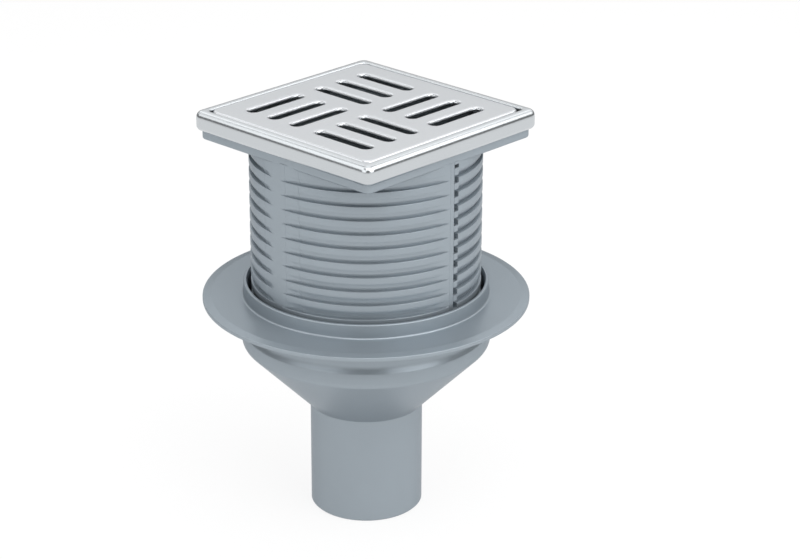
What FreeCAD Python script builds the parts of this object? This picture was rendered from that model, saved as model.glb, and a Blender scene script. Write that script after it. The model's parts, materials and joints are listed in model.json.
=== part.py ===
import FreeCAD, Part
import math
import os

# A point gully for a tiled floor: a stainless grate in a tray frame, a ribbed neck that
# slides and turns in the body, and a bell trap that holds the water seal. Millimetres.
# The origin is at the centre of the outlet spigot's end, +Z is up along the spigot's
# axis, and the sides of the square head run along X and Y.

# The two sizes that the rest fits: the neck that slides, and the outlet spigot.
neck_r = 50.5
spigot_r = 25.0

# Driving dimensions of the body, a moulding that is round about the Z axis.
spigot_length = 49.2
spigot_wall = 1.8
spigot_end_chamfer = 0.8
spigot_root_fillet = 1.5
cone_height = 30.6
body_wall = 2.2
socket_gap = 1.5
recess_wall = 1.8
collar_wall = 1.9
ring_proud = 1.2
ring_height = 6.4
ring_foot_fillet = 3.5
cove_height = 3.2
recess_height = 10.2
recess_fillet = 1.0
flange_width = 18.0
flange_thickness = 2.2
flange_bevel_width = 3.9
flange_bevel_drop = 0.5
flange_edge_fillet = 0.4
collar_height = 6.5
collar_foot_fillet = 0.9
collar_rim_fillet = 0.6
socket_lead_in = 0.6
seat_ledge_rise = 0.2
seat_ledge_width = 2.4

# Driving dimensions of the trap that hangs in the body.
cup_play = 5.6
cup_wall = 1.8
cup_flange_thickness = 2.0
cup_flange_gap = 0.6
cup_rim_rise = 37.4
cup_cone_drop = 7.1
cup_floor_rise = 4.8
upstand_r = 16.0
upstand_wall = 1.6
upstand_foot = 3.0
upstand_drop = 5.0
trap_seal_thickness = 1.6
trap_seal_width = 1.9
bell_gap = 10.0
bell_wall = 1.6
bell_dip = 50.0
bell_headroom = 6.0
bell_crown_fillet = 3.0
bell_inner_fillet = 1.4
fin_thickness = 1.6
fin_leg = 8.0
fin_rest = 0.5
fin_gap = 0.3
grip_length = 26.0
grip_thickness = 3.0
grip_height = 12.0

# Driving dimensions of the ribbed neck and of its square head.
neck_wall = 3.6
neck_foot_gap = 1.9
neck_foot_chamfer = 0.8
neck_reach = 77.2
seal_groove_rise = 2.2
seal_groove_height = 4.0
seal_groove_depth = 1.8
seal_groove_clearance = 0.05
seal_bore_clearance = 0.1
seal_lip_height = 0.6
seal_lip_land = 0.6
seal_waist = 0.6
rib_count = 12
last_rib_gap = 4.7
head_to_rib = 6.33
groove_height = 1.5
groove_depth = 1.7
groove_run_out = 0.1
step_height = 1.65
step_inset = 0.2
step_slope = 0.3
wide_strip_deg = (172.8, 180.6)
narrow_strip_deg = (268.4, 271.7)
notch_width_deg = 2.9
notch_drop = 1.7
notch_depth = 2.6
top_notch_rise = 4.6
head_inset = 0.2
head_corner_r = 2.3
head_height = 12.8
head_edge_fillet = 1.2
head_wall = 1.75
head_cavity_corner_r = 1.0
head_floor_thickness = 2.0

# Driving dimensions of the tray frame and of the grate, both of folded sheet.
frame_overhang = 2.2
frame_corner_r = 3.5
frame_height = 7.0
frame_sheet = 0.7
frame_outer_roll = 2.0
frame_inner_roll = 1.2
frame_inner_corner_r = 2.6
frame_wall_gap = 0.1
skirt_bend_drop = 5.9
skirt_height = 3.3
skirt_inset = 1.3
seat_width = 3.9
grate_gap = 0.5
grate_shift = 0.2
grate_corner_r = 4.5
grate_sheet = 1.2
grate_roll = 1.6
slots_per_group = 3
slot_cross_width = 5.1
slot_margin = 11.2
slot_width = 5.0
slot_pitch_extra = 0.2
slot_lip_r = 2.2
slot_lip_depth = 2.9
slot_lip_wall = 1.0

# Small allowances that only serve the cutting and the picking of edges.
overrun = 1.0
touch = 0.01

# Radii of the body and the trap, from the neck outwards and inwards.
socket_r = neck_r + socket_gap
recess_r = socket_r + recess_wall
ring_r = recess_r + ring_proud
collar_r = socket_r + collar_wall
flange_r = collar_r + flange_width
spigot_bore_r = spigot_r - spigot_wall
seat_ledge_r = socket_r - seat_ledge_width
cup_r = seat_ledge_r - cup_play
cup_flange_r = socket_r - cup_flange_gap
bell_r = upstand_r + bell_gap
fin_inner_r = upstand_r - upstand_wall + fin_rest
neck_bore_r = neck_r - neck_wall
neck_root_r = neck_r - groove_depth

# Heights, from the spigot's end up.
cone_foot_z = spigot_length
ring_bottom_z = cone_foot_z + cone_height
ring_top_z = ring_bottom_z + ring_height
cove_top_z = ring_top_z + cove_height
flange_under_z = cove_top_z + recess_height
flange_top_z = flange_under_z + flange_thickness
collar_top_z = flange_top_z + collar_height
seat_ledge_z = ring_bottom_z + seat_ledge_rise
cup_flange_z = seat_ledge_z + trap_seal_thickness
cup_rim_z = cup_flange_z + cup_rim_rise
cup_cone_top_z = cup_flange_z - cup_cone_drop
cup_floor_z = cone_foot_z + cup_floor_rise
upstand_rim_z = cup_rim_z - upstand_drop
bell_bottom_z = upstand_rim_z - bell_dip
bell_top_z = upstand_rim_z + bell_headroom
neck_foot_z = cup_flange_z + cup_flange_thickness + neck_foot_gap
seal_groove_z = neck_foot_z + seal_groove_rise
seal_groove_top_z = seal_groove_z + seal_groove_height
top_z = collar_top_z + neck_reach
head_bottom_z = top_z - head_height
first_rib_z = head_bottom_z - head_to_rib
last_rib_z = seal_groove_top_z + last_rib_gap
rib_pitch = (first_rib_z - last_rib_z) / (rib_count - 1)
frame_bottom_z = top_z - frame_height
skirt_bend_z = top_z - skirt_bend_drop
skirt_foot_z = skirt_bend_z - skirt_height
grate_bottom_z = frame_bottom_z + frame_sheet

# Sides of the square pieces, from the neck out to the frame and back in to the slots.
head_half = neck_r - head_inset
frame_half = head_half + frame_overhang
frame_inner_half = head_half - head_wall - frame_wall_gap - frame_sheet
grate_half = frame_inner_half - grate_gap
slot_length = grate_half - slot_margin - slot_cross_width
slot_group_offset = slot_cross_width + slot_length / 2
slot_pitch = (slot_length - slot_width) / (slots_per_group - 1) + slot_pitch_extra

# Slope of the body's cone, which the trap cup's cone follows.
cone_rise = cone_height / (ring_r - spigot_r)
cone_angle = math.atan(cone_rise)


def revolved(outline):
    """Turn a closed outline of (radius, height) points about the Z axis."""
    points = [FreeCAD.Vector(r, 0, z) for r, z in outline]
    face = Part.Face(Part.makePolygon(points + points[:1]))
    return face.revolve(FreeCAD.Vector(0, 0, 0), FreeCAD.Vector(0, 0, 1), 360)


def edges_where(shape, wanted):
    """List the edges of a shape whose bounding box passes a test."""
    return [edge for edge in shape.Edges if wanted(edge.BoundBox)]


def circle_edges(shape, radius, z):
    """List the full circles of a revolved shape at one radius and height."""
    def wanted(box):
        flat = abs(box.ZMin - z) < touch and abs(box.ZMax - z) < touch
        return flat and abs(box.XMax - radius) < touch
    return edges_where(shape, wanted)


def round_circles(shape, places):
    """Fillet the circles named as (radius, height, fillet radius)."""
    for radius, z, fillet in places:
        shape = shape.makeFillet(fillet, circle_edges(shape, radius, z))
    return shape


def polar(radius, degrees, z=0.0):
    """Give the point at a radius, an angle from +X and a height."""
    turn = math.radians(degrees)
    return FreeCAD.Vector(radius * math.cos(turn), radius * math.sin(turn), z)


def ring(inner_r, outer_r, z, height):
    """Make a plain round ring that stands on a height."""
    up = FreeCAD.Vector(0, 0, z)
    return Part.makeCylinder(outer_r, height, up).cut(Part.makeCylinder(inner_r, height, up))


def ring_sector(inner_r, outer_r, z, height, start_deg, end_deg):
    """Make the part of a ring between two angles."""
    axis = FreeCAD.Vector(0, 0, 1)
    base = FreeCAD.Vector(0, 0, z)
    sweep = end_deg - start_deg
    outer = Part.makeCylinder(outer_r, height, base, axis, sweep)
    inner = Part.makeCylinder(inner_r, height, base, axis, sweep)
    sector = outer.cut(inner)
    sector.rotate(FreeCAD.Vector(0, 0, 0), axis, start_deg)
    return sector


def square_prism(half, corner_r, z, height):
    """Make a square prism about the Z axis with round vertical corners."""
    box = Part.makeBox(2 * half, 2 * half, height, FreeCAD.Vector(-half, -half, z))
    upright = edges_where(box, lambda b: b.ZLength > height / 2)
    return box.makeFillet(corner_r, upright)


def flat_edges(shape, z):
    """List the edges of a shape that lie flat at one height."""
    return edges_where(shape, lambda b: abs(b.ZMin - z) < touch and abs(b.ZMax - z) < touch)


def slot_prism(x, y, along_y, length, width, z, height):
    """Make an upright prism with a round-ended slot as its outline."""
    half = (length - width) / 2
    radius = width / 2
    low = FreeCAD.Vector(-half, -radius, 0)
    high = FreeCAD.Vector(half, -radius, 0)
    low_back = FreeCAD.Vector(-half, radius, 0)
    high_back = FreeCAD.Vector(half, radius, 0)
    right_tip = FreeCAD.Vector(half + radius, 0, 0)
    left_tip = FreeCAD.Vector(-half - radius, 0, 0)
    edges = [
        Part.LineSegment(low, high).toShape(),
        Part.Arc(high, right_tip, high_back).toShape(),
        Part.LineSegment(high_back, low_back).toShape(),
        Part.Arc(low_back, left_tip, low).toShape(),
    ]
    prism = Part.Face(Part.Wire(edges)).extrude(FreeCAD.Vector(0, 0, height))
    if along_y:
        prism.rotate(FreeCAD.Vector(0, 0, 0), FreeCAD.Vector(0, 0, 1), 90)
    prism.translate(FreeCAD.Vector(x, y, z))
    return prism


def cone_height(r, foot_r):
    """Give the height of the body's cone, shifted inwards to start at foot_r, at a radius."""
    return cone_foot_z + (r - foot_r) * cone_rise


def cove_cutter():
    """Make the round cutter that hollows the slope between the ring and the recess."""
    cove_r = (cove_height ** 2 + ring_proud ** 2) / (2 * ring_proud)
    return Part.makeTorus(recess_r + cove_r, cove_r, FreeCAD.Vector(0, 0, cove_top_z))


def drain_body():
    """Outlet spigot, cone, ring, flange and collar, moulded as one."""
    cone_inset = body_wall / math.sin(cone_angle)
    inner_foot_r = spigot_r - cone_inset
    outline = [
        (spigot_bore_r, 0),
        (spigot_r - spigot_end_chamfer, 0),
        (spigot_r, spigot_end_chamfer),
        (spigot_r, cone_foot_z),
        (ring_r, ring_bottom_z),
        (ring_r, ring_top_z),
        (recess_r, cove_top_z),
        (recess_r, flange_under_z),
        (flange_r, flange_under_z),
        (flange_r, flange_top_z - flange_bevel_drop),
        (flange_r - flange_bevel_width, flange_top_z),
        (collar_r, flange_top_z),
        (collar_r, collar_top_z),
        (socket_r + socket_lead_in, collar_top_z),
        (socket_r, collar_top_z - 2 * socket_lead_in),
        (socket_r, seat_ledge_z),
        (seat_ledge_r, seat_ledge_z),
        (seat_ledge_r, cone_height(seat_ledge_r, inner_foot_r)),
        (spigot_bore_r, cone_height(spigot_bore_r, inner_foot_r)),
    ]
    body = round_circles(revolved(outline), [
        (spigot_r, cone_foot_z, spigot_root_fillet),
        (ring_r, ring_bottom_z, ring_foot_fillet),
        (recess_r, flange_under_z, recess_fillet),
        (collar_r, flange_top_z, collar_foot_fillet),
        (collar_r, collar_top_z, collar_rim_fillet),
        (flange_r, flange_under_z, flange_edge_fillet),
    ])
    return body.cut(cove_cutter())


def trap_cup():
    """Basin that hangs by its flange, with the overflow pipe up its middle."""
    floor_top = cup_floor_z + cup_wall
    floor_r = cup_r - (cup_cone_top_z - cup_floor_z) / cone_rise
    inner_r = cup_r - cup_wall
    cone_inset = cup_wall / math.sin(cone_angle)
    inner_floor_r = cup_r - cone_inset - (cup_cone_top_z - floor_top) / cone_rise
    inner_cone_top_z = cup_cone_top_z + (cone_inset - cup_wall) * cone_rise
    outline = [
        (upstand_r - upstand_wall, cup_floor_z - upstand_foot),
        (upstand_r, cup_floor_z - upstand_foot),
        (upstand_r, cup_floor_z),
        (floor_r, cup_floor_z),
        (cup_r, cup_cone_top_z),
        (cup_r, cup_flange_z),
        (cup_flange_r, cup_flange_z),
        (cup_flange_r, cup_flange_z + cup_flange_thickness),
        (cup_r, cup_flange_z + cup_flange_thickness),
        (cup_r, cup_rim_z),
        (inner_r, cup_rim_z),
        (inner_r, inner_cone_top_z),
        (inner_floor_r, floor_top),
        (upstand_r, floor_top),
        (upstand_r, upstand_rim_z),
        (upstand_r - upstand_wall, upstand_rim_z),
    ]
    return revolved(outline)


def trap_seal():
    """Flat rubber ring between the cup's flange and the body's ledge."""
    inner_r = seat_ledge_r + (seat_ledge_width - trap_seal_width) / 2
    return ring(inner_r, inner_r + trap_seal_width, seat_ledge_z, trap_seal_thickness)


def trap_bell():
    """Bell over the overflow pipe, centred by four fins, with a grip on top."""
    skirt_in = bell_r - bell_wall
    outline = [
        (skirt_in, bell_bottom_z),
        (bell_r, bell_bottom_z),
        (bell_r, bell_top_z + bell_wall),
        (0, bell_top_z + bell_wall),
        (0, bell_top_z),
        (skirt_in, bell_top_z),
    ]
    bell = revolved(outline)
    bell = round_circles(bell, [
        (bell_r, bell_top_z + bell_wall, bell_crown_fillet),
        (skirt_in, bell_top_z, bell_inner_fillet),
    ])
    leg_r = upstand_r + fin_gap
    half = fin_thickness / 2
    reach = skirt_in + half
    fin_top = bell_top_z + bell_wall / 2
    for turn in (45, 135, 225, 315):
        web = Part.makeBox(reach - fin_inner_r, fin_thickness, fin_top - upstand_rim_z,
                           FreeCAD.Vector(fin_inner_r, -half, upstand_rim_z))
        leg = Part.makeBox(reach - leg_r, fin_thickness, fin_leg + bell_wall,
                           FreeCAD.Vector(leg_r, -half, upstand_rim_z - fin_leg))
        fin = web.fuse(leg)
        fin.rotate(FreeCAD.Vector(0, 0, 0), FreeCAD.Vector(0, 0, 1), turn)
        bell = bell.fuse(fin)
    grip = Part.makeBox(grip_length, grip_thickness, grip_height + bell_wall,
                        FreeCAD.Vector(-grip_length / 2, -grip_thickness / 2, bell_top_z))
    crown = edges_where(grip, lambda b: b.YLength > grip_thickness / 2 and b.ZMin > bell_top_z + overrun)
    grip = grip.makeFillet(grip_height / 2, crown)
    return bell.fuse(grip).removeSplitter()


def half_moon(start, end, depths):
    """Make the flat sector that a groove removes, its root an arc through three depths."""
    out = neck_r + overrun
    centred = abs(depths[0] - depths[2]) < touch
    middle = start + (end - start) * (0.5 if centred else 1 / 3)
    root = Part.Arc(polar(neck_r - depths[0], start), polar(neck_r - depths[1], middle),
                    polar(neck_r - depths[2], end))
    rim = Part.Arc(polar(out, start), polar(out, (start + end) / 2), polar(out, end))
    edges = [
        root.toShape(),
        rim.toShape(),
        Part.makeLine(polar(neck_r - depths[0], start), polar(out, start)),
        Part.makeLine(polar(neck_r - depths[2], end), polar(out, end)),
    ]
    return Part.Face(Part.Wire(Part.__sortEdges__(edges)))


def step_cutter(start, end):
    """Make the sloped step above each groove of the shallow groups."""
    deep_r = neck_r - step_inset - step_slope
    outline = [
        (deep_r, groove_height),
        (neck_r + overrun, groove_height),
        (neck_r + overrun, groove_height + step_height),
        (neck_r - step_inset, groove_height + step_height),
    ]
    points = [polar(r, start, z) for r, z in outline]
    face = Part.Face(Part.makePolygon(points + points[:1]))
    return face.revolve(FreeCAD.Vector(0, 0, 0), FreeCAD.Vector(0, 0, 1), end - start)


def rib_cutters(half_turn):
    """List the cutters of one rib's half turn: shallow groove, step, notch and deep groove."""
    shallow = (half_turn + wide_strip_deg[1], half_turn + narrow_strip_deg[0])
    notch = half_turn + narrow_strip_deg[1]
    deep = (notch + notch_width_deg, half_turn + wide_strip_deg[0] + 180)
    return [
        half_moon(*shallow, (-groove_run_out, groove_depth, -groove_run_out)).extrude(
            FreeCAD.Vector(0, 0, groove_height)),
        step_cutter(*shallow),
        ring_sector(neck_r - notch_depth, neck_r + overrun, -notch_drop,
                    notch_drop + groove_height, notch, notch + notch_width_deg),
        half_moon(*deep, (groove_depth, groove_depth, -groove_run_out)).extrude(
            FreeCAD.Vector(0, 0, groove_height + step_height)),
    ]


def neck_tube():
    """Round tube with its seal groove, before the ribs are cut."""
    foot = neck_foot_chamfer
    groove_r = neck_r - seal_groove_depth
    return revolved([
        (neck_bore_r, neck_foot_z),
        (neck_r - foot, neck_foot_z),
        (neck_r, neck_foot_z + foot),
        (neck_r, seal_groove_z),
        (groove_r, seal_groove_z),
        (groove_r, seal_groove_top_z),
        (neck_r, seal_groove_top_z),
        (neck_r, head_bottom_z + head_edge_fillet),
        (head_half, head_bottom_z + head_edge_fillet),
        (head_half, frame_bottom_z),
        (neck_bore_r, frame_bottom_z),
    ])


def ribbed_neck():
    """Neck tube with its saw-tooth ribs, flush strips and columns of notches."""
    low = seal_groove_top_z + overrun
    band = head_bottom_z - low
    cutters = []
    for half_turn in (0, 180):
        for start, end in (wide_strip_deg, narrow_strip_deg):
            cutters.append(ring_sector(head_half, neck_r + overrun, low, band,
                                       start + half_turn, end + half_turn))
        notch = half_turn + narrow_strip_deg[1]
        cutters.append(ring_sector(neck_r - notch_depth, neck_r + overrun, first_rib_z + top_notch_rise,
                                   notch_drop, notch, notch + notch_width_deg))
        for i in range(rib_count):
            for cutter in rib_cutters(half_turn):
                cutter.translate(FreeCAD.Vector(0, 0, first_rib_z - i * rib_pitch))
                cutters.append(cutter)
    return neck_tube().cut(cutters)


def neck_head():
    """Square head that carries the tray frame, open above and below its floor."""
    rim_z = top_z - frame_sheet - frame_wall_gap
    floor_z = frame_bottom_z - head_floor_thickness
    cavity = head_half - head_wall
    head = square_prism(head_half, head_corner_r, head_bottom_z, rim_z - head_bottom_z)
    head = head.makeFillet(head_edge_fillet, flat_edges(head, head_bottom_z))
    over = square_prism(cavity, head_cavity_corner_r, frame_bottom_z, rim_z - frame_bottom_z)
    under = square_prism(cavity, head_cavity_corner_r, head_bottom_z, floor_z - head_bottom_z)
    return head.cut(over).cut(under)


def neck():
    """Neck tube and head, moulded as one."""
    bore = Part.makeCylinder(neck_bore_r, top_z, FreeCAD.Vector(0, 0, 0))
    return neck_head().cut(bore).fuse(ribbed_neck()).removeSplitter()


def neck_seal():
    """Rubber ring with two lips in the neck's lowest groove."""
    low = seal_groove_z + seal_groove_clearance
    high = seal_groove_top_z - seal_groove_clearance
    inner_r = neck_r - seal_groove_depth + seal_groove_clearance
    lip_r = socket_r - seal_bore_clearance
    return revolved([
        (inner_r, low),
        (neck_r, low),
        (lip_r, low + seal_lip_height),
        (lip_r, low + seal_lip_height + seal_lip_land),
        (neck_r + seal_waist, (low + high) / 2),
        (lip_r, high - seal_lip_height - seal_lip_land),
        (lip_r, high - seal_lip_height),
        (neck_r, high),
        (inner_r, high),
    ])


def square_wire(half, corner_r, z):
    """Give the outline of a square with round corners at a height."""
    prism = square_prism(half, corner_r, z, overrun)
    bottom = [face for face in prism.Faces if face.BoundBox.ZMax < z + touch]
    return bottom[0].OuterWire


def skirt_block(inset):
    """Make the solid inside the frame's sloped skirt, its sides set in by a wall."""
    half = frame_half - inset
    corner_r = frame_corner_r - inset
    high = square_wire(half, corner_r, skirt_bend_z)
    low = square_wire(half - skirt_inset, corner_r - skirt_inset / 2, skirt_foot_z)
    return Part.makeLoft([low, high], True, True)


def steel_frame():
    """Tray frame folded from sheet: sloped skirt, rolled rim, inner wall and seat."""
    rise = top_z - skirt_bend_z
    sheet = frame_sheet
    outer = square_prism(frame_half, frame_corner_r, skirt_bend_z, rise)
    outer = outer.makeFillet(frame_outer_roll, flat_edges(outer, top_z))
    fill = square_prism(frame_half - sheet, frame_corner_r - sheet, skirt_bend_z, rise - sheet)
    fill = fill.makeFillet(frame_outer_roll - sheet, flat_edges(fill, top_z - sheet))
    shell = outer.fuse(skirt_block(0)).cut(fill.fuse(skirt_block(sheet)))
    post = square_prism(frame_inner_half + sheet, frame_inner_corner_r + sheet, frame_bottom_z,
                        frame_height - sheet / 2)
    well = square_prism(frame_inner_half, frame_inner_corner_r, frame_bottom_z, frame_height)
    rim = shell.fuse(post).cut(well)
    limit = frame_inner_half + touch
    inner_top = edges_where(rim, lambda b: b.ZMin > top_z - touch and b.XMax < limit and b.YMax < limit)
    rim = rim.makeFillet(frame_inner_roll, inner_top)
    seat = square_prism(frame_inner_half + sheet / 2, frame_inner_corner_r, frame_bottom_z, sheet)
    hole = square_prism(frame_inner_half - seat_width, frame_inner_corner_r, frame_bottom_z, sheet)
    return rim.fuse(seat.cut(hole)).removeSplitter()


def slot_places():
    """List the centre of each slot and whether it runs along Y."""
    places = []
    middle = (slots_per_group - 1) / 2
    for i in range(slots_per_group):
        step = slot_group_offset + (i - middle) * slot_pitch
        places.append((step, slot_group_offset, True))
        places.append((-step, -slot_group_offset, True))
        places.append((-slot_group_offset, step, False))
        places.append((slot_group_offset, -step, False))
    return places


def grate():
    """Pressed sheet panel with turned-down sides and twelve slots with rolled lips."""
    height = top_z - grate_bottom_z
    panel = square_prism(grate_half, grate_corner_r, grate_bottom_z, height)
    panel = panel.makeFillet(grate_roll, flat_edges(panel, top_z))
    hollow_half = grate_half - grate_sheet
    hollow = square_prism(hollow_half, grate_corner_r - grate_sheet, grate_bottom_z, height - grate_sheet)
    panel = panel.cut(hollow)
    lips = []
    holes = []
    for x, y, along_y in slot_places():
        lips.append(slot_prism(x, y, along_y, slot_length + 2 * slot_lip_wall,
                               slot_width + 2 * slot_lip_wall, top_z - slot_lip_depth,
                               slot_lip_depth - grate_sheet / 2))
        holes.append(slot_prism(x, y, along_y, slot_length, slot_width,
                                top_z - slot_lip_depth, slot_lip_depth))
    panel = panel.fuse(lips).cut(holes)
    inner = grate_half - grate_roll - touch
    mouths = edges_where(panel, lambda b: b.ZMin > top_z - touch
                         and max(abs(b.XMin), abs(b.XMax), abs(b.YMin), abs(b.YMax)) < inner)
    panel = panel.makeFillet(slot_lip_r, mouths)
    panel.translate(FreeCAD.Vector(-grate_shift, grate_shift, 0))
    return panel


PIECES = {
    "drain_body": drain_body,
    "trap_seal": trap_seal,
    "trap_cup": trap_cup,
    "trap_bell": trap_bell,
    "neck_seal": neck_seal,
    "neck": neck,
    "steel_frame": steel_frame,
    "grate": grate,
}

os.makedirs("parts", exist_ok=True)
for name, make in PIECES.items():
    shape = make()
    shape.exportStep("parts/" + name + ".step")
    print(name, "solids", len(shape.Solids), "valid", shape.isValid(), "volume", round(shape.Volume))
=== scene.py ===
# %% [markdown]
# # A floor gully with a stainless grate
#
# The object is a shower gully: a grey moulded body with its outlet below, a ribbed neck
# that slides and turns in it, and a pressed steel grate in a tray frame on top. The sizes
# come from a measured model, which this notebook loads and never moves. Each piece is
# then given a finer mesh where its curves show, and every surface gets a finish that
# starts from what the real material is.

# %% Load the measured model
import json
import math
import bmesh
import bpy
from mathutils import Matrix, Vector

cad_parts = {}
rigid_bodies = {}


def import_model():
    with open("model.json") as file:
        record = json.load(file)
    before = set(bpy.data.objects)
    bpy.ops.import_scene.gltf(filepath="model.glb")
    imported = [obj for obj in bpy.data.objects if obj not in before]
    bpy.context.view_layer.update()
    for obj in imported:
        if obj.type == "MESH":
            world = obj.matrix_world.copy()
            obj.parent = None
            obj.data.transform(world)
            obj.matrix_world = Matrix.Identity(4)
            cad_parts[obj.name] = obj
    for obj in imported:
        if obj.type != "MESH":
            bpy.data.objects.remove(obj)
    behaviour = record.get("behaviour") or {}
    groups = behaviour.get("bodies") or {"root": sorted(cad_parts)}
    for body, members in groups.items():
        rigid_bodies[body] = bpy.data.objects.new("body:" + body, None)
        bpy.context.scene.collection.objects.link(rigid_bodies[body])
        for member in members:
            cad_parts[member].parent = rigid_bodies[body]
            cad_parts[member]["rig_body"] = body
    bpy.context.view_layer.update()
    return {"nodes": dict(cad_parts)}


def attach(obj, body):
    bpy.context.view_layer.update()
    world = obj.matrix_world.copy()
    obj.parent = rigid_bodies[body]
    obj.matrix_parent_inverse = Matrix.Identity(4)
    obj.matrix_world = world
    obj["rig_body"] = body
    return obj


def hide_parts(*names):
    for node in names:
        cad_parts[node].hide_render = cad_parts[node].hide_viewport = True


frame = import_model()
print("nodes", sorted(frame["nodes"]))

# %% [markdown]
# ## Units and small helpers
#
# The model is in metres, while a designer thinks in millimetres, so one value turns one
# into the other. An edit operator acts on everything that is selected, and the loaded
# pieces arrive selected, so each step starts by selecting nothing.

# %% Millimetres and selection
MM = 0.001


def select_nothing():
    """Leave edit mode and deselect every object."""
    if bpy.context.object and bpy.context.object.mode != "OBJECT":
        bpy.ops.object.mode_set(mode="OBJECT")
    bpy.ops.object.select_all(action="DESELECT")


def make_active(piece):
    """Select one object alone and make it the active one."""
    select_nothing()
    piece.select_set(True)
    bpy.context.view_layer.objects.active = piece


select_nothing()
print("a millimetre is", MM, "of a Blender unit")

# %% [markdown]
# ## Where the light falls
#
# The photograph looks as if it was taken on a white table in a dim room with a few soft
# boxes. A satin surface shows what stands around it, so their places matter as much as
# their levels. A soft ceiling and a wall of light at the far end fill the steel's top,
# two large boxes at the front light the round faces from both sides, one above the
# camera fills the ribs between them, and weaker ones close the ring. Near the table the
# room stays dim, which draws the dark line under the frame's roll.
#
# Each box is placed by how far round it stands from the camera, counter-clockwise seen
# from above, and by how high. The levels are plain, so a colour renders about as it is
# written.

# %% Lamps and room
BOX_DISTANCE = 1.4
AIM_HEIGHT = 0.1
# Direction from the gully to the camera, in degrees from the X axis
CAMERA_SIDE = -135.7
SOFT_BOXES = {
    # name: turn from the camera, height angle, width, height, brightness
    "ceiling": (0, 90, 1.3, 1.3, 0.85),
    "far_wall": (180, 41, 1.5, 1.15, 0.75),
    "right_back": (135, 35, 0.8, 0.8, 0.6),
    "left_back": (225, 35, 0.8, 0.8, 0.6),
    "right_front": (45, 32, 1.1, 1.4, 1.65),
    "right": (90, 42, 1.0, 0.8, 1.6),
    "left": (270, 42, 0.9, 0.9, 1.05),
    "left_front": (315, 24, 1.2, 0.9, 1.1),
    "camera_side": (0, 58, 0.9, 0.7, 2.2),
}


def soft_box(name, turn, rise, width, height, brightness):
    """Hang a rectangular lamp round the gully and aim it there; sizes are in metres."""
    around, up = math.radians(CAMERA_SIDE + turn), math.radians(rise)
    target = Vector((0, 0, AIM_HEIGHT))
    place = target + BOX_DISTANCE * Vector((math.cos(up) * math.cos(around),
                                            math.cos(up) * math.sin(around),
                                            math.sin(up)))
    data = bpy.data.lights.new(name, "AREA")
    data.shape = "RECTANGLE"
    data.size = width
    data.size_y = height
    # An area lamp looks as bright as its power divided by four times its area.
    data.energy = 4 * width * height * brightness
    lamp = bpy.data.objects.new(name, data)
    bpy.context.scene.collection.objects.link(lamp)
    lamp.rotation_euler = (target - place).to_track_quat("-Z", "Y").to_euler()
    lamp.location = place
    return lamp


for name, sizes in SOFT_BOXES.items():
    soft_box(name, *sizes)
print("lamps", len(SOFT_BOXES))

# %% [markdown]
# ## Colours and nodes
#
# Colours are picked from sRGB hex values, as a paint program shows them, but the shader
# adds light in linear values, so one function converts them. One more adds a node, sets
# its values and wires its inputs in a single call, which keeps each finish short.

# %% Colour and node helpers
def linear(hex_code):
    """Turn an sRGB hex colour into the linear values that a shader takes."""
    parts = [int(hex_code[i:i + 2], 16) / 255 for i in (1, 3, 5)]
    bent = [p / 12.92 if p <= 0.04045 else ((p + 0.055) / 1.055) ** 2.4 for p in parts]
    return (*bent, 1.0)


def new_material(name):
    """Make an empty material and return it with its node tree and shader."""
    material = bpy.data.materials.new(name)
    material.use_nodes = True
    tree = material.node_tree
    return material, tree, tree.nodes["Principled BSDF"]


def add_node(tree, kind, inputs=None, **settings):
    """Add a node, apply its settings, and set or wire its inputs by name or number."""
    node = tree.nodes.new(kind)
    for key, value in settings.items():
        setattr(node, key, value)
    for key, value in (inputs or {}).items():
        if isinstance(value, bpy.types.NodeSocket):
            tree.links.new(value, node.inputs[key])
        else:
            node.inputs[key].default_value = value
    return node


def per_metre(size_mm):
    """Give the texture scale at which one pattern cell has a real size in millimetres."""
    return 1.0 / (size_mm * MM)


print("mid grey is", round(linear("#808080")[0], 3), "in linear light")

# %% [markdown]
# ## Floor and background
#
# The photograph's ground is pure white. The floor keeps the object's shadow, so its
# white is mixed: the camera, and what the steel mirrors, see mostly a flat white, and
# the rest is an ordinary matt surface that can still darken under the gully.

# %% White floor and dim room
TABLE_SIZE = 8.0
FLAT_WHITE_SHARE = 0.85
ROOM_LEVEL = 0.2


def floor_material():
    """White table top whose shadow still shows."""
    material, tree, shader = new_material("white_table")
    shader.inputs["Base Color"].default_value = linear("#F4F4F4")
    shader.inputs["Roughness"].default_value = 0.9
    path = add_node(tree, "ShaderNodeLightPath")
    seen = path.outputs["Is Camera Ray"]
    for ray in ("Is Glossy Ray", "Is Transmission Ray"):
        seen = add_node(tree, "ShaderNodeMath", {0: seen, 1: path.outputs[ray]},
                        operation="MAXIMUM").outputs[0]
    share = add_node(tree, "ShaderNodeMath", {0: seen, 1: FLAT_WHITE_SHARE}, operation="MULTIPLY")
    glow = add_node(tree, "ShaderNodeEmission", {"Color": (1, 1, 1, 1), "Strength": 1.0})
    mix = add_node(tree, "ShaderNodeMixShader",
                   {0: share.outputs[0], 1: shader.outputs[0], 2: glow.outputs[0]})
    tree.links.new(mix.outputs[0], tree.nodes["Material Output"].inputs["Surface"])
    return material


select_nothing()
bpy.ops.mesh.primitive_plane_add(size=TABLE_SIZE, location=(0, 0, 0))
floor = bpy.context.object
floor.name = "table_top"
floor.data.materials.append(floor_material())

world = bpy.data.worlds.new("dim_room")
bpy.context.scene.world = world
world.use_nodes = True
room = world.node_tree.nodes["Background"]
room.inputs["Color"].default_value = (1, 1, 1, 1)
room.inputs["Strength"].default_value = ROOM_LEVEL
print("floor", floor.name, "room level", ROOM_LEVEL)

# %% [markdown]
# ## Camera
#
# The photograph's viewpoint was worked out from the drain's own sizes: the square frame
# and the round spigot fix the direction, the distance and the focal length. The camera
# orbits a point on the spigot's axis and is then panned, tilted and rolled slightly.

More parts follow.
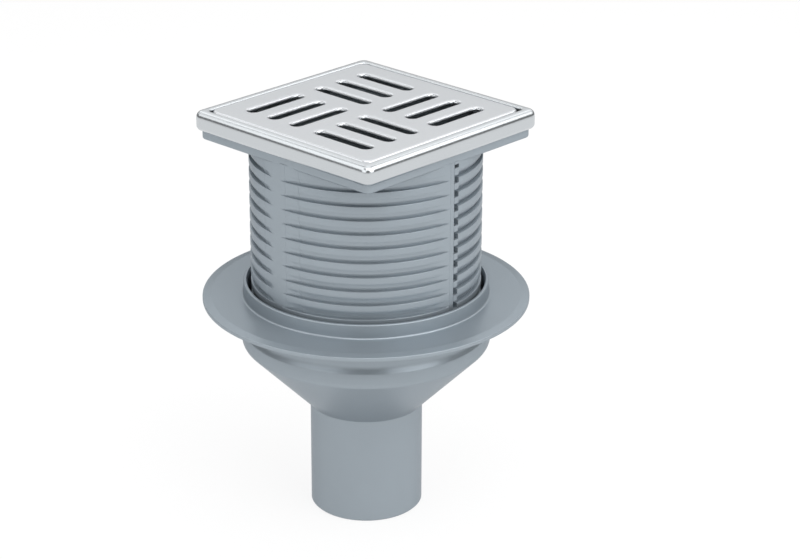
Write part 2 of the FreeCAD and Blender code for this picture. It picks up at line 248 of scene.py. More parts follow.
# %% Photograph's camera
VIEW_AZIMUTH = -45.699
VIEW_ELEVATION = 23.831
VIEW_DISTANCE = 1092.6 * MM
ORBIT_HEIGHT = 80.0 * MM
PAN, TILT, ROLL = 0.789, 1.296, -0.138
FOCAL_PIXELS = 2460.1
PHOTO_WIDTH = 800


def photograph_camera():
    """Place the camera by its orbit and its small turns, all in degrees and metres."""
    azimuth, elevation = math.radians(VIEW_AZIMUTH), math.radians(VIEW_ELEVATION)
    back = Vector((math.sin(azimuth) * math.cos(elevation),
                   -math.cos(azimuth) * math.cos(elevation),
                   math.sin(elevation)))
    right = (-back).cross(Vector((0, 0, 1))).normalized()
    up = right.cross(-back)
    panned = -back + math.tan(math.radians(PAN)) * right
    ahead = (panned + math.tan(math.radians(TILT)) * up).normalized()
    side = ahead.cross(up).normalized()
    top = side.cross(ahead)
    roll = math.radians(ROLL)
    x_axis = math.cos(roll) * side + math.sin(roll) * top
    y_axis = math.cos(roll) * top - math.sin(roll) * side
    turn = Matrix((x_axis, y_axis, -ahead)).transposed()
    data = bpy.data.cameras.new("photo_camera")
    data.sensor_fit = "HORIZONTAL"
    data.sensor_width = 36.0
    data.lens = FOCAL_PIXELS * data.sensor_width / PHOTO_WIDTH
    data.clip_start = 0.01
    camera = bpy.data.objects.new("photo_camera", data)
    bpy.context.scene.collection.objects.link(camera)
    place = back * VIEW_DISTANCE + Vector((0, 0, ORBIT_HEIGHT))
    camera.matrix_world = Matrix.Translation(place) @ turn.to_4x4()
    return camera


bpy.context.scene.camera = photograph_camera()
bpy.context.scene.view_settings.view_transform = "Standard"
print("lens", round(bpy.context.scene.camera.data.lens, 1), "mm")

# %% [markdown]
# ## Silver-grey polypropylene, injection moulded
#
# Body and neck are polypropylene with a fine silver pigment. The mould is spark eroded,
# so the skin is satin: a fine grit, drawn about a third of a millimetre wide so that it
# shows, breaks up the gloss. Where the melt flowed and cooled unevenly the tone drifts a
# little over centimetres. The pigment's flakes are mirrors in a clear plastic, so the
# finish is set about halfway between plastic and metal, and its gloss is slightly grey.

# %% Grey plastic
def moulded_polypropylene(name, hex_code, metallic, roughness):
    """Satin moulded plastic with pigment drift, fine grit and a soft gloss."""
    material, tree, shader = new_material(name)
    place = add_node(tree, "ShaderNodeTexCoord").outputs["Object"]
    drift = add_node(tree, "ShaderNodeTexNoise",
                     {"Vector": place, "Scale": per_metre(35), "Detail": 3.0})
    specks = add_node(tree, "ShaderNodeTexNoise",
                      {"Vector": place, "Scale": per_metre(0.35), "Detail": 2.0})
    base = linear(hex_code)
    darker = (*[c * 0.93 for c in base[:3]], 1.0)
    lighter = (*[min(c * 1.06, 1.0) for c in base[:3]], 1.0)
    tone = add_node(tree, "ShaderNodeMath", {0: drift.outputs["Fac"], 1: 0.7},
                    operation="MULTIPLY")
    grain = add_node(tree, "ShaderNodeMath",
                     {0: specks.outputs["Fac"], 1: 0.3, 2: tone.outputs[0]},
                     operation="MULTIPLY_ADD")
    colour = add_node(tree, "ShaderNodeMix", {0: grain.outputs[0], 6: darker, 7: lighter},
                      data_type="RGBA")
    tree.links.new(colour.outputs[2], shader.inputs["Base Color"])
    rough = add_node(tree, "ShaderNodeMapRange",
                     {"Value": specks.outputs["Fac"], "From Min": 0.3, "From Max": 0.7,
                      "To Min": roughness - 0.05, "To Max": roughness + 0.06})
    tree.links.new(rough.outputs[0], shader.inputs["Roughness"])
    grit = add_node(tree, "ShaderNodeBump",
                    {"Strength": 0.12, "Distance": 0.03 * MM, "Height": specks.outputs["Fac"]})
    tree.links.new(grit.outputs[0], shader.inputs["Normal"])
    shader.inputs["Metallic"].default_value = metallic
    shader.inputs["IOR"].default_value = 1.49
    shader.inputs["Specular Tint"].default_value = linear("#B4B9BE")
    return material


grey_plastic = moulded_polypropylene("silver_grey_polypropylene", "#98A1A8", 0.55, 0.34)
# Painted shade: the trap's plastic is made dark grey so that the inside seen through the slots
# stays nearly black; such traps are often a lighter grey.
shade_darkened_trap_plastic = moulded_polypropylene("dark_grey_polypropylene_painted_shade", "#2E3133", 0.0, 0.42)
print("made", grey_plastic.name, "and", shade_darkened_trap_plastic.name)

# %% [markdown]
# ## Satin stainless steel, pressed and rolled
#
# Grate and frame are cold-rolled stainless sheet. The flat faces keep the satin of the
# rolling mill, a faint grain along the sheet, and the press tool burnishes every edge
# that it bends, so rolls and slot lips are smoother and brighter than the flats.

# %% Stainless steel
def pressed_stainless(name, hex_code, flat_roughness, bend_roughness):
    """Rolled stainless sheet: grained satin on the flats and burnished on the bends."""
    material, tree, shader = new_material(name)
    coords = add_node(tree, "ShaderNodeTexCoord")
    along = add_node(tree, "ShaderNodeMapping",
                     {"Vector": coords.outputs["Object"], "Scale": (0.04, 1.0, 1.0)})
    grain = add_node(tree, "ShaderNodeTexNoise",
                     {"Vector": along.outputs[0], "Scale": per_metre(0.4), "Detail": 3.0})
    cloud = add_node(tree, "ShaderNodeTexNoise",
                     {"Vector": coords.outputs["Object"], "Scale": per_metre(25), "Detail": 2.0})
    facing = add_node(tree, "ShaderNodeSeparateXYZ", {"Vector": coords.outputs["Normal"]})
    bent = add_node(tree, "ShaderNodeMapRange",
                    {"Value": facing.outputs["Z"], "From Min": 0.80, "From Max": 0.995,
                     "To Min": bend_roughness, "To Max": flat_roughness})
    spread = add_node(tree, "ShaderNodeMath", {0: grain.outputs["Fac"], 1: 0.5},
                      operation="SUBTRACT")
    rough = add_node(tree, "ShaderNodeMath",
                     {0: spread.outputs[0], 1: 0.12, 2: bent.outputs[0]},
                     operation="MULTIPLY_ADD")
    tree.links.new(rough.outputs[0], shader.inputs["Roughness"])
    base = linear(hex_code)
    darker = (*[c * 0.95 for c in base[:3]], 1.0)
    colour = add_node(tree, "ShaderNodeMix", {0: cloud.outputs["Fac"], 6: darker, 7: base},
                      data_type="RGBA")
    tree.links.new(colour.outputs[2], shader.inputs["Base Color"])
    scratch = add_node(tree, "ShaderNodeBump",
                       {"Strength": 0.05, "Distance": 0.02 * MM, "Height": grain.outputs["Fac"]})
    tree.links.new(scratch.outputs[0], shader.inputs["Normal"])
    shader.inputs["Metallic"].default_value = 1.0
    return material


grate_steel = pressed_stainless("satin_stainless_grate", "#D3D6D9", 0.36, 0.25)
frame_steel = pressed_stainless("satin_stainless_frame", "#CBCFD2", 0.30, 0.24)
print("made", grate_steel.name, "and", frame_steel.name)

# %% [markdown]
# ## Sealing rubber
#
# The rings are black EPDM, moulded and dusted with talc: matt, very dark and slightly
# mottled.

# %% Rubber
def moulded_rubber():
    """Black matt rubber with a faint dusty mottle."""
    material, tree, shader = new_material("black_epdm_rubber")
    place = add_node(tree, "ShaderNodeTexCoord").outputs["Object"]
    dust = add_node(tree, "ShaderNodeTexNoise",
                    {"Vector": place, "Scale": per_metre(4), "Detail": 4.0})
    colour = add_node(tree, "ShaderNodeMix",
                      {0: dust.outputs["Fac"], 6: linear("#17181A"), 7: linear("#2B2C2E")},
                      data_type="RGBA")
    tree.links.new(colour.outputs[2], shader.inputs["Base Color"])
    shader.inputs["Roughness"].default_value = 0.75
    return material


rubber = moulded_rubber()
print("made", rubber.name)

# %% [markdown]
# ## Outlines with real bends
#
# No moulded or pressed edge is perfectly sharp, and it is the small bend that catches
# the light. An outline is written as its corners, each with its bend radius, and one
# function turns every bend into an arc. It also puts a point just before and after the
# arc, so that the flat faces beside it stay flat when the skin is shaded smooth.

# %% Corners to outline points
SUPPORT = 0.18
ARC_STEP = 12


def arc_points(before, corner, after, bend):
    """Replace one corner by an arc that touches both of its sides."""
    to_before = (Vector(before) - Vector(corner)).normalized()
    to_after = (Vector(after) - Vector(corner)).normalized()
    half_angle = to_before.angle(to_after) / 2
    reach = bend / math.tan(half_angle)
    centre = Vector(corner) + (to_before + to_after).normalized() * bend / math.sin(half_angle)
    turn = math.pi - 2 * half_angle
    count = max(2, math.ceil(math.degrees(turn) / ARC_STEP))
    first = Vector(corner) + to_before * reach - centre
    last = Vector(corner) + to_after * reach - centre
    points = [Vector(corner) + to_before * (reach + SUPPORT)]
    for i in range(count + 1):
        share = i / count
        spoke = first * math.sin((1 - share) * turn) + last * math.sin(share * turn)
        points.append(centre + spoke / math.sin(turn))
    points.append(Vector(corner) + to_after * (reach + SUPPORT))
    return points


def bent_outline(corners, closed=True):
    """Turn (across, height, bend) corners in millimetres into the points of an outline."""
    points = []
    for i, (across, height, bend) in enumerate(corners):
        if bend == 0:
            points.append(Vector((across, height)))
        else:
            before, after = corners[i - 1][:2], corners[(i + 1) % len(corners)][:2]
            points += arc_points(before, (across, height), after, bend)
    if closed:
        points.append(points[0])
    return points


print("a square corner bent at 1 mm has", len(arc_points((0, 9), (0, 0), (9, 0), 1)), "points")

# %% [markdown]
# ## Turning a piece on its axis
#
# The body, the trap and the seals are round, so each is drawn as half an outline and
# spun. The outline grows out of one vertex, extruded from point to point, which is how
# it would be traced by hand.

# %% Draw, spin and close
WELD = 0.0008 * MM


def draw_outline(name, points):
    """Trace an outline of (radius, height) points by extruding one vertex along it."""
    select_nothing()
    bpy.ops.mesh.primitive_plane_add(size=MM)
    piece = bpy.context.object
    piece.name = name
    bpy.ops.object.mode_set(mode="EDIT")
    bpy.ops.mesh.merge(type="CENTER")
    bpy.ops.transform.translate(value=(points[0][0] * MM, 0, points[0][1] * MM))
    for here, there in zip(points, points[1:]):
        step = ((there[0] - here[0]) * MM, 0, (there[1] - here[1]) * MM)
        bpy.ops.mesh.extrude_vertices_move(TRANSFORM_OT_translate={"value": step})
    bpy.ops.mesh.select_all(action="SELECT")
    return piece


def spin_on(degrees, steps):
    """Spin what is selected about the upright axis; the new end stays selected."""
    bpy.ops.mesh.spin(steps=steps, angle=math.radians(degrees),
                      center=(0, 0, 0), axis=(0, 0, -1))


def close_skin(piece, sharp_degrees=30):
    """Weld doubled points, turn all faces outwards and shade smooth but for sharp edges."""
    make_active(piece)
    bpy.ops.object.mode_set(mode="EDIT")
    bpy.ops.mesh.select_all(action="SELECT")
    bpy.ops.mesh.remove_doubles(threshold=WELD)
    bpy.ops.mesh.normals_make_consistent(inside=False)
    bpy.ops.object.mode_set(mode="OBJECT")
    bpy.ops.object.shade_smooth_by_angle(angle=math.radians(sharp_degrees))


def turned_piece(name, corners, steps=192):
    """Make a round piece from the corners of its half outline."""
    piece = draw_outline(name, bent_outline(corners))
    spin_on(360, steps)
    close_skin(piece)
    return piece


def dress(piece, node, material):
    """Give a piece its finish and let it stand for a measured node, on the same body."""
    piece.data.materials.clear()
    piece.data.materials.append(material)
    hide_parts(node)
    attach(piece, frame["nodes"][node]["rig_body"])
    print(piece.name, len(piece.data.polygons), "faces")


print("helpers ready")

# %% [markdown]
# ## The grey body
#
# From the bottom up: outlet spigot, cone, ring, a hollow slope into the recess, flange
# and collar. The flange's rim is bevelled so that it lies flat in the floor's membrane.

# %% Body
CONE_RISE = 1.02
INNER_FOOT_R = 21.92


def inner_cone_z(radius):
    """Height of the cone's inner face at a radius, in millimetres."""
    return 49.2 + (radius - INNER_FOOT_R) * CONE_RISE


def cove(steps=7):
    """Points of the hollow slope above the ring, an arc of 41 degrees up to the recess."""
    low, high, hollow_r = math.radians(221.1), math.radians(180), 4.867
    across, height = 53.8 + hollow_r, 89.4
    turns = [low + (high - low) * i / steps for i in range(steps + 1)]
    return [(across + hollow_r * math.cos(t), height + hollow_r * math.sin(t), 0)
            for t in turns]


body_corners = [
    (23.2, 0, 0.3), (24.2, 0, 0.25), (25.0, 0.8, 0.25), (25.0, 49.2, 1.5), (55.0, 79.8, 3.5),
    (55.0, 85.85, 0), (54.93, 86.08, 0), *cove()[1:],
    (53.8, 99.6, 1.0), (71.9, 99.6, 0.4), (71.9, 101.3, 0.3), (68.0, 101.8, 1.5),
    (53.9, 101.8, 0.9), (53.9, 108.3, 0.55), (52.6, 108.3, 0.2), (52.0, 107.1, 0.4),
    (52.0, 80.0, 0.3), (49.6, 80.0, 0.4), (49.6, inner_cone_z(49.6), 0.8),
    (23.2, inner_cone_z(23.2), 1.0)]
body_skin = turned_piece("body_skin", body_corners, 256)
dress(body_skin, "drain_body", grey_plastic)

# %% [markdown]
# ## Trap cup and seals
#
# These are hidden in the photograph. The cup hangs by its flange with the overflow pipe up its
# middle, on a flat rubber ring, and the neck's seal has two lips. Cup and bell are made dark grey
# as painted shade, so that the inside seen through the slots stays nearly black.

# %% Cup and rubber rings
cup_corners = [
    (14.4, 51.0, 0.3), (16.0, 51.0, 0.3), (16.0, 54.0, 0.5), (23.9, 54.0, 1.2),
    (44.0, 74.5, 2.0), (44.0, 81.6, 0.3), (51.4, 81.6, 0.3), (51.4, 83.6, 0.4),
    (44.0, 83.6, 0.4), (44.0, 119.0, 0.5), (42.2, 119.0, 0.4), (42.2, 75.24, 1.2),
    (23.15, 55.8, 1.0), (16.0, 55.8, 0.8), (16.0, 114.0, 0.4), (14.4, 114.0, 0.4)]
dress(turned_piece("trap_cup_skin", cup_corners), "trap_cup", shade_darkened_trap_plastic)

trap_seal_corners = [
    (49.85, 80.0, 0.25), (51.75, 80.0, 0.25), (51.75, 81.6, 0.25), (49.85, 81.6, 0.25)]
dress(turned_piece("trap_seal_skin", trap_seal_corners), "trap_seal", rubber)

neck_seal_corners = [
    (48.75, 87.75, 0.15), (50.5, 87.75, 0.1), (51.9, 88.35, 0.2), (51.9, 88.95, 0.2),
    (51.1, 89.7, 0.2), (51.9, 90.45, 0.2), (51.9, 91.05, 0.2), (50.5, 91.65, 0.1),
    (48.75, 91.65, 0.15)]
dress(turned_piece("neck_seal_skin", neck_seal_corners), "neck_seal", rubber)

# %% [markdown]
# ## The ribbed neck
#
# The neck's outside is a tube with twelve saw-tooth ribs. Seen from above it has two
# flat strips on each half, a column of deep notches beside the narrow one, and grooves
# whose depth changes round the tube. In one quarter they are thin, with a shallow step
# above, and run out to a point at both ends. In the next one they start deep at the
# notches and run out to a point at the other end only.
#
# The tube is spun in sectors so that its columns of points fall exactly where a strip
# or a notch begins. Its points are then pressed in by a depth that depends on where in
# the rib, and where round the tube, each one is.

# %% Rows and columns of the ribs
NECK_R = 50.5
FIRST_RIB_Z = 166.37
RIB_PITCH = 6.356
RIB_COUNT = 12
STRIP_DEPTH = 0.2
NOTCH_DEPTH = 2.6
GROOVE_DEPTH = 1.75
TOP_NOTCH = (170.97, 172.6)
ANY = 9.0

# Rows of one rib: height above its groove's floor, which share of the thin groove's, the
# step's and the deep groove's depth it has, its depth in a notch, and the most it may be
# pressed in. The small limits round off the edge of the shelf under each groove.
RIB_ROWS = [
    (-2.14, 0.0, 0.0, 0.0, 0.0, ANY), (-2.1, 0.0, 0.0, 0.0, NOTCH_DEPTH, ANY),
    (-0.34, 0.0, 0.0, 0.0, NOTCH_DEPTH, ANY), (-0.16, 1.0, 0.0, 1.0, NOTCH_DEPTH, 0.02),
    (-0.05, 1.0, 0.0, 1.0, NOTCH_DEPTH, 0.08), (0.0, 1.0, 0.0, 1.0, NOTCH_DEPTH, 0.2),
    (0.02, 1.0, 0.0, 1.0, NOTCH_DEPTH, ANY), (0.75, 1.0, 0.0, 0.9, NOTCH_DEPTH, ANY),
    (1.46, 1.0, 0.0, 0.55, NOTCH_DEPTH, ANY), (1.5, 0.0, 1.0, 0.5, 0.0, ANY),
    (2.3, 0.0, 0.85, 0.16, 0.0, ANY), (3.08, 0.0, 0.7, 0.04, 0.0, ANY),
    (3.11, 0.0, 0.65, 0.03, 0.0, ANY), (3.14, 0.0, 0.07, 0.02, 0.0, ANY),
    (3.24, 0.0, 0.0, 0.0, 0.0, ANY)]
STEP_DEPTH = 0.85
GROOVE_TOP = 1.5

# Sectors of half a turn, in degrees: where each starts, and what it is.
SECTORS = [(-6.0, "strip"), (-0.6, "thin"), (88.4, "strip"), (91.7, "notch"), (94.6, "deep"),
           (174.0, "end")]
# A sector's first and last columns stand this far inside it, so its edge stays steep.
EDGE = 0.06
COLUMN_STEP = 1.5

# The mould's inserts leave fine upright lines on the skin, each a hair proud.
MOULD_LINES = [2.4, 10.7, 89.2, 166.2]
LINE_WIDTH = 0.2
LINE_PROUD = 0.13


def sector_angles(start, end):
    """List the angles of one sector's columns and whether a mould line's crest is there."""
    count = max(2, round((end - start) / COLUMN_STEP))
    first, last = start + EDGE, end - EDGE
    plain = [first + (last - first) * i / count for i in range(count + 1)]
    lines = [line for line in MOULD_LINES if first < line < last]
    clear = 3 * LINE_WIDTH
    kept = [(a, False) for a in plain if all(abs(a - line) > clear for line in lines)]
    for line in lines:
        kept += [(line - LINE_WIDTH, False), (line, True), (line + LINE_WIDTH, False)]
    return sorted(kept)


def neck_columns():
    """List every column: its angle, its sector, its share of it, and if it is a line."""
    columns = []
    for half in (0, 180):
        for (start, kind), (end, _) in zip(SECTORS, SECTORS[1:]):
            for angle, crest in sector_angles(start, end):
                share = (angle - start - EDGE) / (end - start - 2 * EDGE)
                columns.append((half + angle, kind, share, crest))
    return columns


columns = neck_columns()
print(len(columns), "columns,", len(RIB_ROWS) * RIB_COUNT, "rows in the ribs")

# %% [markdown]
# The depth itself: the thin groove starts as a point at each end and is deep for most of
# its length, with a sloping step above it that fades towards the ends. The deep groove
# keeps its depth for most of its length and then runs out to a point.

# %% Depth at a point of the neck
def thin_depths(share):
    """Depths of the thin groove and of the step above it, and the groove's height share."""
    inwards = 1 - abs(2 * share - 1)
    fade = min(1.0, inwards / 0.4)
    groove = GROOVE_DEPTH * (1 - (1 - inwards) ** 6)
    step = STEP_DEPTH * fade * fade * (3 - 2 * fade)
    return groove, step, min(1.0, 0.25 + 4 * inwards)


def pressed_in(kind, share, row):
    """How far a point is pressed in, by its sector, its share of it and its rib row."""
    _, groove, step, deep, notch, limit = row
    if kind == "strip":
        return STRIP_DEPTH
    if kind == "notch":
        return notch
    if kind == "thin":
        groove_depth, step_depth, _ = thin_depths(share)
        return min(limit, groove * groove_depth + step * step_depth)
    run_in = STRIP_DEPTH * max(0.0, 5 * share - 4)
    return max(run_in, min(limit, deep * GROOVE_DEPTH * (1 - share ** 7)))


def lowered(kind, share, row):
    """How far a point of the groove comes down where the thin groove runs to a point."""
    if kind != "thin" or not 0 < row[0] <= GROOVE_TOP:
        return 0.0
    return row[0] * (1 - thin_depths(share)[2])


def rib_rows():
    """List each rib row's height and its rule, from the lowest rib up."""
    rows = []
    for i in reversed(range(RIB_COUNT)):
        foot = FIRST_RIB_Z - i * RIB_PITCH
        rows += [(foot + row[0], row) for row in RIB_ROWS]
    return rows


print("thin groove is", round(thin_depths(0.5)[0], 2), "mm deep at its middle")

# %% Spin the neck's tube and press the ribs in
def neck_outline():
    """Give the tube's half outline: its foot, seal groove, rib rows, top and bore."""
    lower = bent_outline([
        (46.9, 178.3, 0), (46.9, 85.5, 0.3), (49.7, 85.5, 0.2), (50.5, 86.3, 0.2),
        (50.5, 87.7, 0.2), (48.7, 87.7, 0.2), (48.7, 91.7, 0.2), (50.5, 91.7, 0.3),
        (50.5, 93.0, 0)], closed=False)
    ribs = [(NECK_R, height) for height, _ in rib_rows()]
    upper = [(NECK_R, height) for height in (170.93, *TOP_NOTCH, 172.64, 173.85)]
    inside_head = [(50.28, 173.9), (50.28, 178.3), (46.9, 178.3)]
    return [tuple(p) for p in lower] + ribs + upper + inside_head


def press_ribs(piece):
    """Move the points of the ribbed band inwards by the depth where they are."""
    rules = {round(height, 2): row for height, row in rib_rows()}
    for height in TOP_NOTCH:
        rules[height] = (0, 0.0, 0.0, 0.0, NOTCH_DEPTH, ANY)
    plain = (0, 0.0, 0.0, 0.0, 0.0, ANY)
    places = {round(angle % 360, 2): place for angle, *place in columns}
    missed = 0
    for vertex in piece.data.vertices:
        radius = math.hypot(vertex.co.x, vertex.co.y) / MM
        height = vertex.co.z / MM
        if radius < NECK_R - 0.05 or not 92.5 < height < 173.87:
            continue
        angle = math.degrees(math.atan2(vertex.co.y, vertex.co.x)) % 360
        place = places.get(round(angle, 2))
        if place is None:
            missed += 1
            continue
        kind, share, crest = place
        row = rules.get(round(height, 2), plain)
        shrink = (NECK_R - pressed_in(kind, share, row) + LINE_PROUD * crest) / NECK_R
        vertex.co.z -= lowered(kind, share, row) * MM
        vertex.co.x *= shrink
        vertex.co.y *= shrink
    print("points without a column", missed)


def neck_tube():
    """Spin the tube sector by sector, so that its columns fall on the strips' edges."""
    piece = draw_outline("neck_skin", neck_outline())
    make_active(piece)
    piece.rotation_euler.z = math.radians(columns[0][0])
    bpy.ops.object.transform_apply(location=False, rotation=True, scale=False)
    bpy.ops.object.mode_set(mode="EDIT")
    bpy.ops.mesh.select_all(action="SELECT")
    angles = [column[0] for column in columns] + [columns[0][0] + 360]
    for here, there in zip(angles, angles[1:]):
        spin_on(there - here, 1)
    bpy.ops.object.mode_set(mode="OBJECT")
    return piece


neck_skin = neck_tube()
press_ribs(neck_skin)
close_skin(neck_skin, 32)
print("neck tube", len(neck_skin.data.polygons), "faces")

# %% [markdown]
# ## Square pieces swept round their corners
#
# Frame, grate and head are square with round corners, and the slots are long with round
# ends. All are made alike: a loop of points with four corner arcs is extruded through
# the stations of a wall's outline, and at each station every corner arc grows or shrinks
# about its own centre and moves with it. So a rolled edge keeps its true round section
# right round a corner, which a plain bevel wouldn't give.

# %% Loops that are swept through stations
CORNER_STEPS = 10


def corner_centre(sx, sy, station, length):
    """Centre of one corner arc of a loop, in millimetres, for a station."""
    half, _, corner_r = station
    return Vector((sx * (half + length - corner_r), sy * (half - corner_r), 0))


def start_loop(name, station, length=0.0):
    """Make the first loop from a circle, its points moved out to the four corner arcs."""
    half, height, corner_r = station
    select_nothing()
    per_corner = CORNER_STEPS + 1
    bpy.ops.mesh.primitive_circle_add(vertices=4 * per_corner, radius=corner_r * MM,
                                      fill_type="NOTHING")
    piece = bpy.context.object
    piece.name = name
    for i, vertex in enumerate(piece.data.vertices):
        quarter, step = divmod(i, per_corner)
        angle = math.radians(90 * quarter + 90 * step / CORNER_STEPS)
        sx, sy = ((1, 1), (-1, 1), (-1, -1), (1, -1))[quarter]
        centre = corner_centre(sx, sy, station, length)
        arc = Vector((math.cos(angle), math.sin(angle), 0)) * corner_r
        vertex.co = (centre + arc) * MM
        vertex.co.z = height * MM
    return piece


def sweep_to(mesh, old, new, length):
    """Extrude the selected loop from one station to the next, corner by corner."""
    bpy.ops.mesh.extrude_edges_move()
    ring = [v for v in mesh.verts if v.select]
    quarters = {}
    for vertex in ring:
        quarters.setdefault((vertex.co.x > 0, vertex.co.y > 0), []).append(vertex)
    for (right, back), corner in quarters.items():
        signs = (1 if right else -1, 1 if back else -1)
        old_centre = corner_centre(*signs, old, length) * MM
        new_centre = corner_centre(*signs, new, length) * MM
        for vertex in corner:
            spoke = (vertex.co.xy - old_centre.xy) * (new[2] / old[2])
            vertex.co.xy = new_centre.xy + spoke
            vertex.co.z = new[1] * MM


def station_list(corners, closed):
    """Turn (half width, height, bend, corner radius) corners into swept stations."""
    flat = [(half, height, bend) for half, height, bend, _ in corners]
    stations = []
    for i, (half, height, bend, corner_r) in enumerate(corners):
        points = [Vector((half, height))]
        if bend:
            before, after = flat[i - 1][:2], flat[(i + 1) % len(flat)][:2]
            points = arc_points(before, (half, height), after, bend)
        stations += [(p[0], p[1], corner_r + p[0] - half) for p in points]
    if closed:
        stations.append(stations[0])
    return stations


def swept_piece(name, corners, length=0.0, closed=True):
    """Sweep a loop through all stations of a wall's outline."""
    stations = station_list(corners, closed)
    piece = start_loop(name, stations[0], length)
    bpy.ops.object.mode_set(mode="EDIT")
    bpy.ops.mesh.select_all(action="SELECT")
    mesh = bmesh.from_edit_mesh(piece.data)
    for old, new in zip(stations, stations[1:]):
        sweep_to(mesh, old, new, length)
    bpy.ops.object.mode_set(mode="OBJECT")
    return piece


def fill_between(piece, height, within):
    """Fill the flat area between the open loops at a height, in millimetres."""
    make_active(piece)
    bpy.ops.object.mode_set(mode="EDIT")
    bpy.ops.mesh.select_mode(type="EDGE")
    bpy.ops.mesh.select_all(action="DESELECT")
    mesh = bmesh.from_edit_mesh(piece.data)
    for edge in mesh.edges:
        level = all(abs(v.co.z / MM - height) < 0.005 for v in edge.verts)
        near = all(max(abs(v.co.x), abs(v.co.y)) < within * MM for v in edge.verts)
        edge.select = level and near and len(edge.link_faces) < 2
    bmesh.update_edit_mesh(piece.data)
    bpy.ops.mesh.fill(use_beauty=True)
    bpy.ops.mesh.select_mode(type="VERT")
    bpy.ops.object.mode_set(mode="OBJECT")


def joined(name, pieces):
    """Join pieces into the first of them and name it."""
    select_nothing()
    for piece in pieces:
        piece.select_set(True)
    bpy.context.view_layer.objects.active = pieces[0]
    bpy.ops.object.join()
    pieces[0].name = name
    return pieces[0]


print("sweep helpers ready")

# %% [markdown]
# ## The neck's square head
#
# The head grows out of the tube, with a rounded lower edge. Its floor carries the tray
# frame and is open in the middle, where the water falls.

# %% Head
FLOOR_Z = 178.5
FLOOR_UNDERSIDE_Z = 176.5


def circle_loop(radius, height):
    """Make an open circle at a height, both in millimetres."""
    select_nothing()
    bpy.ops.mesh.primitive_circle_add(vertices=128, radius=radius * MM,
                                      location=(0, 0, height * MM))
    bpy.ops.object.transform_apply(location=True, rotation=False, scale=False)
    return bpy.context.object


head = swept_piece("neck_head", [
    (48.1, FLOOR_Z, 0, 0.8), (48.55, FLOOR_Z, 0.25, 1.2), (48.55, 184.0, 0.3, 1.2),
    (50.3, 184.0, 0.4, 2.8), (50.3, 172.7, 1.2, 2.8), (48.55, 172.7, 0.2, 1.2),
    (48.55, FLOOR_UNDERSIDE_Z, 0.25, 1.2), (48.1, FLOOR_UNDERSIDE_Z, 0, 0.8)], closed=False)
head = joined("neck_head", [
    head, circle_loop(46.95, FLOOR_Z), circle_loop(48.0, FLOOR_UNDERSIDE_Z)])
fill_between(head, FLOOR_Z, 48.2)
fill_between(head, FLOOR_UNDERSIDE_Z, 48.2)
close_skin(head, 32)
neck_skin = joined("neck_skin", [neck_skin, head])
dress(neck_skin, "neck", grey_plastic)

# %% [markdown]
# ## Tray frame
#
# One strip of sheet curls in at its foot, goes up the side, over the rolled rim, down the
# inner wall and in under the grate as its seat.

# %% Frame
frame_skin = swept_piece("steel_frame_skin", [
    (50.7, 176.9, 0.15, 2.8), (51.7, 177.2, 0.9, 3.5), (52.5, 178.4, 1.4, 4.2),
    (52.5, 185.5, 3.0, 4.2), (47.75, 185.5, 0.8, 2.6), (47.75, 179.2, 0.4, 2.6),
    (43.85, 179.2, 0.2, 2.6), (43.85, FLOOR_Z, 0.2, 2.6), (48.45, FLOOR_Z, 0.5, 3.3),
    (48.45, 184.8, 0.4, 3.3), (51.8, 184.8, 2.3, 3.5), (51.8, 178.6, 0.7, 3.5),
    (50.7, 177.5, 0.15, 2.8)])
close_skin(frame_skin, 40)
dress(frame_skin, "steel_frame", frame_steel)

# %% [markdown]
# ## Grate
#
# The panel's side is rolled over and turned down. Each slot's edge is pressed down in a
# wide soft roll with a short lip, so that from the side a bright far wall shows over a
# dark hole. One slot is modelled and then copied to all twelve places, each copy with
# its own mesh. Last the flat top and the underside are filled in between the loops.

# %% Grate
PANEL_TOP_Z = 185.5
PANEL_UNDERSIDE_Z = 184.3
SLOT_STRAIGHT = 12.975
SLOT_OFFSET = 20.575
SLOT_PITCH = 13.175
GRATE_SHIFT = Vector((-0.2, 0.2, 0)) * MM


def slot_lip():
    """Make one slot's wall: flat, rolled over, down, and back up on its hidden side."""
    return swept_piece("slot_lip", [
        (4.9, PANEL_TOP_Z, 0, 4.9), (3.1, PANEL_TOP_Z, 1.3, 3.1), (2.5, 184.6, 1.1, 2.5),
        (2.5, 183.4, 0.2, 2.5), (3.3, 183.4, 0.3, 3.3), (3.5, PANEL_UNDERSIDE_Z, 0.2, 3.5),
        (4.0, PANEL_UNDERSIDE_Z, 0, 4.0)], SLOT_STRAIGHT, closed=False)


def slot_places():
    """List each slot's centre in millimetres and whether it runs along Y."""
    places = []
    for i in (-1, 0, 1):
        step = SLOT_OFFSET + i * SLOT_PITCH
        places += [(step, SLOT_OFFSET, True), (-step, -SLOT_OFFSET, True),
                   (-SLOT_OFFSET, step, False), (SLOT_OFFSET, -step, False)]
    return places


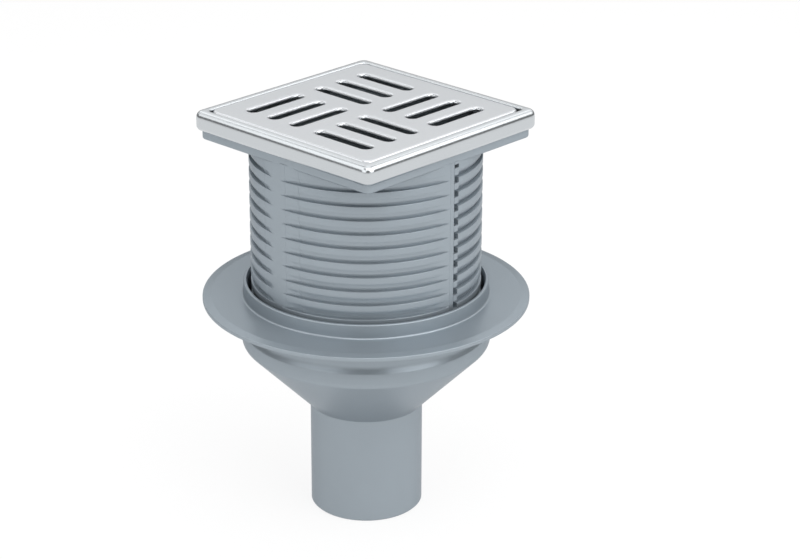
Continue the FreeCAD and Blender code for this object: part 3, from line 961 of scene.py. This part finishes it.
def grate_piece():
    """Join the rolled rim and twelve slots and fill the panel between them."""
    rim = swept_piece("grate_skin", [
        (45.0, PANEL_TOP_Z, 0, 2.25), (47.25, PANEL_TOP_Z, 1.25, 4.5),
        (47.25, 179.2, 0.35, 4.5), (46.05, 179.2, 0.35, 3.3),
        (46.05, PANEL_UNDERSIDE_Z, 0.4, 3.3), (45.2, PANEL_UNDERSIDE_Z, 0, 2.45)], closed=False)
    pattern = slot_lip()
    lips = []
    for x, y, along_y in slot_places():
        lip = bpy.data.objects.new("lip", pattern.data.copy())
        bpy.context.scene.collection.objects.link(lip)
        turn = Matrix.Rotation(math.radians(90 if along_y else 0), 4, "Z")
        lip.data.transform(Matrix.Translation((x * MM, y * MM, 0)) @ turn)
        lips.append(lip)
    bpy.data.objects.remove(pattern)
    grate = joined("grate_skin", [rim] + lips)
    fill_between(grate, PANEL_TOP_Z, 45.1)
    fill_between(grate, PANEL_UNDERSIDE_Z, 45.3)
    grate.data.transform(Matrix.Translation(GRATE_SHIFT))
    close_skin(grate, 40)
    return grate


grate_skin = grate_piece()
dress(grate_skin, "grate", grate_steel)

# %% [markdown]
# ## Trap bell
#
# The bell's measured shape is already right, so its copy is welded into one skin and
# shaded with the large faces leading, which keeps the thin fins flat.

# %% Bell
def welded_copy(node, name):
    """Copy a measured piece, weld it and shade it with weighted normals."""
    source = frame["nodes"][node]
    piece = bpy.data.objects.new(name, source.data.copy())
    bpy.context.scene.collection.objects.link(piece)
    make_active(piece)
    bpy.ops.object.mode_set(mode="EDIT")
    bpy.ops.mesh.select_all(action="SELECT")
    bpy.ops.mesh.remove_doubles(threshold=0.002 * MM)
    bpy.ops.object.mode_set(mode="OBJECT")
    bpy.ops.object.shade_smooth_by_angle(angle=math.radians(35))
    modifier = piece.modifiers.new("weighted", "WEIGHTED_NORMAL")
    modifier.keep_sharp = True
    bpy.ops.object.modifier_apply(modifier=modifier.name)
    return piece


# The bell takes the trap's dark grey too, painted shade for the inside under the slots.
dress(welded_copy("trap_bell", "trap_bell_skin"), "trap_bell", shade_darkened_trap_plastic)
